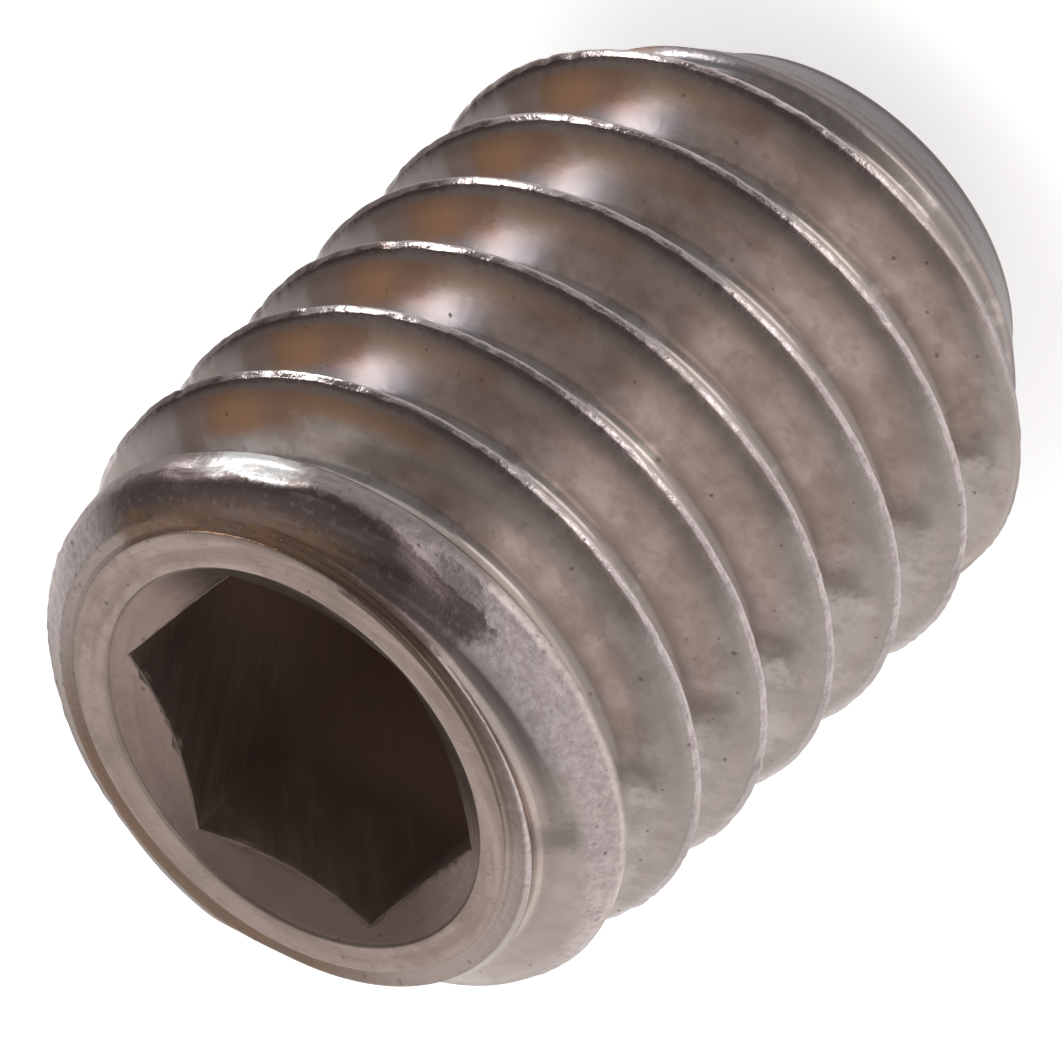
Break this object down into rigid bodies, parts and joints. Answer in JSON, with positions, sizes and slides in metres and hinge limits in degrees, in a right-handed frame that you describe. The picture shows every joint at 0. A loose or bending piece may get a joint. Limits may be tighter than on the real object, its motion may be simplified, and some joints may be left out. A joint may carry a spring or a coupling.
{
  "type": "grub set screw",
  "caption": "Headless set screw with a right-hand thread over its whole length, a hexagon socket in one end and a flat point at the other.",
  "frame": {"origin": "on the screw's axis, in the plane of the flat point", "axes": "+Z along the screw's axis, from the point to the socket end; two corners of the hexagon lie along Y"},
  "size_m": [0.006, 0.006, 0.008],
  "materials": {
    "stainless_steel": "bare stainless steel, smooth rolled thread, lightly stained"
  },
  "bodies": {
    "root": {"set_screw": "stainless_steel"}
  },
  "joints": []
}
